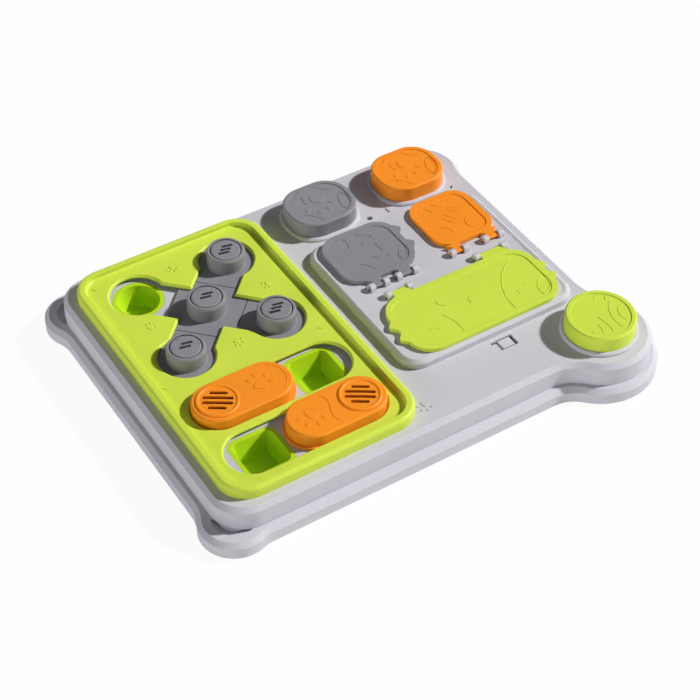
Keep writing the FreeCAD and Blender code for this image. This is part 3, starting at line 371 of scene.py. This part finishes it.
def cap_relief():
    """A round pad with four toes, a leaf and bows inside the rim of each cap."""
    pad = (1.0, 5.3)
    print_mark = [oval(pad[0], pad[1], 5.5, 5.1, 20)]
    for x, y in ((-11.2, -3.1), (-4.7, -8.5), (2.7, -8.2), (7.8, -3.3)):
        print_mark.append(oval(x, y, 2.3, 1.6, math.degrees(math.atan2(y - pad[1], x - pad[0]))))
    bows = [
        bow((18.4, 2.9), (14.7, -1.6), (13.0, -15.8)),
        bow((18.4, 2.9), (19.6, -8.5), (13.0, -15.8)),
        bow((5.0, 17.4), (8.4, 12.7), (15.6, 8.3)),
        bow((-7.8, 17.2), (-11.0, 13.3), (-15.4, 10.7)),
        bow((-16.6, -6.4), (-9.9, -11.4), (-6.9, -17.2)),
        bow((-6.8, 12.1), (-9.0, 7.6), (-8.4, 2.3)),
    ]
    for cap, slot in (("cap_grey", "mid_grey"), ("cap_orange", "orange")):
        relief("marks_" + cap, middle(cap), top_of(cap) - FIELD_DEPTH, print_mark, bows, cap, slot)
    bows = [
        bow((13.3, 8.1), (7.6, 0.9), (5.0, -16.4)),
        bow((15.2, 0.4), (11.3, -4.9), (11.3, -12.2)),
        bow((9.2, 17.4), (7.8, 15.9), (4.7, 14.8)),
        bow((13.8, 12.8), (12.8, 11.8), (11.6, 9.6)),
        bow((-3.6, -0.8), (-1.7, -8.8), (-2.8, -16.6)),
        bow((-7.9, -6.6), (-7.8, -11.3), (-9.6, -14.8)),
        straight((-15.0, -9.8), (-14.0, -11.4)),
    ]
    relief("marks_cap_round", middle("cap_round"), top_of("cap_round") - FIELD_DEPTH, [], bows,
           "cap_round", "lime")


def lid_relief():
    """Bows, short strokes and leaves on the three lids, and a step on each strap of the lime one."""
    grey = [
        bow((-8.8, 20.0), (-7.6, 14.0), (-16.6, 8.0)),
        bow((2.0, 20.0), (6.0, 16.2), (13.0, 17.0)),
        bow((24.2, -7.0), (17.5, -11.0), (15.9, -19.3)),
        bow((24.2, -7.0), (22.6, -14.5), (15.9, -19.3)),
        bow((-12.4, -7.8), (-8.0, -11.6), (-4.7, -17.9)),
        straight((1.5, 11.1), (0.7, 8.0)),
        straight((8.8, 4.7), (8.9, -4.3)),
        straight((0.1, -5.9), (2.3, -9.0)),
        straight((8.6, -8.5), (10.1, -10.9)),
        straight((10.4, 14.6), (9.6, 11.5)),
    ]
    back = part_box("lid_grey")[1][1] / MM
    relief("marks_lid_grey", (GREY_LID_X, (LID_FRONT + back) / 2),
           top_of("lid_grey") - FIELD_DEPTH, [], grey, "lid_grey", "mid_grey", width=0.7)
    orange = [
        bow((-16.0, 16.0), (-10.0, 16.0), (-9.0, 10.0)),
        bow((-4.0, 18.5), (0.0, 14.0), (6.5, 15.0)),
        bow((13.5, -4.0), (6.5, -9.0), (8.0, -17.0)),
        bow((-15.5, -5.0), (-9.0, -7.5), (-7.5, -14.0)),
        straight((-6.0, 2.0), (-1.0, -6.0)),
        straight((-2.5, 5.0), (3.0, -4.0)),
        straight((2.0, 7.0), (9.5, 2.5)),
        straight((3.0, 10.0), (12.5, 6.0)),
    ]
    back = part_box("lid_orange")[1][1] / MM
    relief("marks_lid_orange", (middle("lid_orange")[0], (LID_FRONT + back) / 2),
           top_of("lid_orange") - FIELD_DEPTH, [], orange, "lid_orange", "orange", width=0.7)
    lime = [
        bow((44.2, 18.4), (26.5, 3.3), (19.2, -22.6)),
        bow((54.0, -6.9), (45.8, -11.2), (43.5, -21.7)),
        bow((54.0, -6.9), (52.6, -16.0), (43.5, -21.7)),
        bow((-0.8, 2.4), (-2.8, -0.5), (-3.2, -2.8)),
        bow((-22.0, 11.3), (-21.9, 6.3), (-18.2, 3.1)),
        bow((-25.8, -2.9), (-22.4, -11.6), (-22.3, -22.3)),
        bow((31.4, -9.1), (30.1, -11.7), (31.4, -14.2)),
        straight((37.4, -6.6), (39.0, -8.2)),
        straight((-36.6, -10.6), (-35.0, -12.4)),
        straight((-41.6, -9.0), (-40.6, -10.6)),
        straight((10.6, 19.0), (13.8, 17.4)),
    ]
    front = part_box("lid_lime")[0][1] / MM
    relief("marks_lid_lime", (middle("lid_lime")[0], (front + LIME_LID_BACK) / 2),
           top_of("lid_lime") - FIELD_DEPTH, [], lime, "lid_lime", "lime", width=0.7)
    for name, x, width in (("strap_step_left", 33.0, 12.0), ("strap_step_right", 108.0, 18.0)):
        half = width / 2 + STEP_OVERHANG
        bar = [(x - half, STEP_FRONT), (x + half, STEP_FRONT), (x + half, STEP_BACK), (x - half, STEP_BACK)]
        relief(name, (0.0, 0.0), top_of("lid_lime") - 0.05, [bar], [], "lid_lime", "lime", height=0.45)


def slider_relief():
    """A paw print on each slider, with a bow round the end of one and a wave across the other."""
    relief("marks_slider_rear", middle("slider_rear"), SLIDER_TOP, paw(12.8, -2.2, 4.4, 62),
           [arc(17.5, 0.0, 13.6, -62, 66)], "slider_rear", "orange", height=0.3, width=0.7)
    upper = bow((-4.6, 12.4), (-2.6, 6.5), (-4.2, 0.5), 12)
    lower = bow((-4.2, 0.5), (-6.0, -6.0), (-5.0, -12.6), 12)
    wave = upper[:-1] + lower
    relief("marks_slider_front", middle("slider_front"), SLIDER_TOP, paw(-16.5, 2.4, 4.6, 246), [wave],
           "slider_front", "orange",
           height=0.3, width=0.7)


def grille_shade():
    """The unlit hollow that shows as near black through the slits of each grille."""
    for slider in ("slider_rear", "slider_front"):
        grille = slider.replace("slider", "grille")
        relief("shade_" + grille, middle(grille), SLIDER_TOP - 1.75, [oval(0.0, 0.0, 11.8, 11.8, 0, 48)], [],
               slider, "orange", height=0.2, material="painted_shade")


def knob_marks():
    """Near-black bars for the slits and a near-black ring for the groove on the disc of each knob, both
    painted shade of those hollows, and two faint creases.
    """
    slits = {"knob_rear_right": 3, "knob_front_right": 3, "knob_centre": 2, "knob_front_left": 2}
    half_long, half_wide = SLIT_LENGTH / 2, SLIT_WIDTH / 2
    c, s = math.cos(math.radians(SLIT_TURN)), math.sin(math.radians(SLIT_TURN))
    for knob, count in slits.items():
        centre = middle(knob)
        level = top_of(knob.replace("knob", "knob_disc")) - SLIT_SINK
        bars = []
        for n in range(count):
            shift = (n - (count - 1) / 2) * SLIT_PITCH + (1.0 if count == 2 else 0.0)
            along = shift * math.sqrt(0.5)
            corners = [(-half_long, -half_wide), (half_long, -half_wide), (half_long, half_wide),
                       (-half_long, half_wide)]
            bars.append([(along + a * c - b * s, along + a * s + b * c) for a, b in corners])
        # near-black bars: painted shade inside the slits
        relief("slit_shade_" + knob, centre, level, bars, [], knob, "mid_grey", height=0.25, material="painted_shade")
        creases = []
        for side in (-1, 1):
            reach, away = 8.6 * math.sqrt(0.5), side * 4.4 * math.sqrt(0.5)
            creases.append(straight((away - reach, away + reach), (away + reach, away - reach)))
        relief("creases_" + knob, centre, level - 0.22, [], creases, knob, "mid_grey", height=0.3, width=0.5)
        # near-black ring: painted shade in the groove round the disc
        groove = [arc(0.0, 0.0, GROOVE_RADIUS, 0, 180), arc(0.0, 0.0, GROOVE_RADIUS, 180, 360)]
        relief("groove_shade_" + knob, centre, GROOVE_FLOOR, [], groove, knob, "mid_grey", height=0.35, width=0.7,
               material="painted_shade")


def small_marks():
    """The small raised paw prints and strokes on the panel and the deck."""
    level = PANEL_FLOOR
    islands = []
    for x, y, size, heading in ((-83.4, 100.2, 2.0, 250), (-123.5, 55.5, 2.0, 40), (-36.3, 51.8, 1.9, 200),
                                (-81.5, 14.6, 2.1, 300)):
        islands += paw(x, y, size, heading)
    strokes = [straight((x - 1.4, y + 1.4), (x + 1.4, y - 1.4))
               for x, y in ((-142.4, 1.3), (-29.5, -3.4), (-138.7, 107.6))]
    relief("marks_panel", (0.0, 0.0), level, islands, strokes, "board", "lime_panel", height=0.4, width=0.9)
    islands = paw(-6.0, -93.3, 2.6, 240) + paw(72.0, 113.0, 2.2, 250)
    relief("marks_deck", (0.0, 0.0), DECK_TOP, islands, [], "board", "light_grey", height=0.4)


def frame_shade_line():
    """A thin mid-grey bead along the right-hand edge of the lid frame: painted shade along the inner step of
    the frame's lip.
    """
    line = straight((FRAME_EDGE, -SHADE_LINE_REACH), (FRAME_EDGE, SHADE_LINE_REACH), 60)
    # the mid-grey colour of this bead is painted shade, not a seam
    relief("shade_line_lid_frame", (0.0, 0.0), FRAME_TOP, [], [line], "board", "light_grey", height=0.08, width=0.5,
           material="mid_grey")


# Floor, light and camera

def floor_material():
    tree = Tree("floor_white")
    diffuse = tree.add("ShaderNodeBsdfDiffuse", Color=(0.82, 0.82, 0.83, 1.0))
    glow = tree.add("ShaderNodeEmission", Color=(1.0, 1.0, 1.0, 1.0), Strength=1.0)
    seen = tree.add("ShaderNodeLightPath").outputs["Is Camera Ray"]
    share = tree.spread(seen, 0.4, 0.94, 0.0, 1.0)
    blend = tree.nodes.new("ShaderNodeMixShader")
    tree.join(share, blend.inputs[0])
    tree.join(diffuse.outputs[0], blend.inputs[1])
    tree.join(glow.outputs[0], blend.inputs[2])
    tree.join(blend.outputs[0], tree.add("ShaderNodeOutputMaterial").inputs["Surface"])
    return tree.material


def floor():
    half = 4.0
    mesh = bpy.data.meshes.new("floor")
    corners = [(-half, -half, 0), (half, -half, 0), (half, half, 0), (-half, half, 0)]
    mesh.from_pydata(corners, [], [(0, 1, 2, 3)])
    mesh.materials.append(floor_material())
    plane = bpy.data.objects.new("floor", mesh)
    plane.location.z = -0.0002
    bpy.context.scene.collection.objects.link(plane)


def sun(name, toward_light, strength, angle, colour=(1.0, 1.0, 1.0)):
    lamp = bpy.data.lights.new(name, "SUN")
    lamp.energy = strength
    lamp.angle = math.radians(angle)
    lamp.color = colour
    holder = bpy.data.objects.new(name, lamp)
    holder.rotation_euler = Vector(toward_light).to_track_quat("Z", "Y").to_euler()
    bpy.context.scene.collection.objects.link(holder)


def world_light(level, mirrored):
    world = bpy.data.worlds.new("studio")
    bpy.context.scene.world = world
    world.use_nodes = True
    nodes, links = world.node_tree.nodes, world.node_tree.links
    nodes.clear()
    path = nodes.new("ShaderNodeLightPath")
    glossy = nodes.new("ShaderNodeMapRange")
    glossy.inputs[3].default_value = level
    glossy.inputs[4].default_value = mirrored
    links.new(path.outputs["Is Glossy Ray"], glossy.inputs[0])
    strength = nodes.new("ShaderNodeMath")
    strength.operation = "MAXIMUM"
    links.new(glossy.outputs[0], strength.inputs[0])
    links.new(path.outputs["Is Camera Ray"], strength.inputs[1])
    sky = nodes.new("ShaderNodeBackground")
    sky.inputs["Color"].default_value = (1.0, 1.0, 1.0, 1.0)
    links.new(strength.outputs[0], sky.inputs["Strength"])
    output = nodes.new("ShaderNodeOutputWorld")
    links.new(sky.outputs[0], output.inputs["Surface"])


def lights():
    sun("key", (0.72, -0.22, 0.60), 3.95, 4.0, (1.0, 0.985, 0.965))
    sun("left_fill", (-0.95, -0.30, 0.15), 1.45, 30.0)
    world_light(0.12, 0.32)


def camera():
    """The photograph's view: place and axes solved from the board's own parallel edges."""
    place = Vector((-0.46375, -0.71077, 0.83975))
    right = Vector((0.8442, -0.5360, 0.0097)).normalized()
    forward = Vector((0.3857, 0.5947, -0.7054)).normalized()
    up = right.cross(forward).normalized()
    right = forward.cross(up)
    lens = bpy.data.cameras.new("camera")
    lens.sensor_width = 36.0
    lens.lens = 90.3
    holder = bpy.data.objects.new("camera", lens)
    turn = Matrix((right, up, -forward)).transposed()
    holder.matrix_world = Matrix.Translation(place) @ turn.to_4x4()
    bpy.context.scene.collection.objects.link(holder)
    bpy.context.scene.camera = holder


paint_frame()
cap_relief()
lid_relief()
slider_relief()
grille_shade()
knob_marks()
small_marks()
frame_shade_line()
floor()
lights()
camera()
bpy.context.scene.view_settings.view_transform = "Standard"
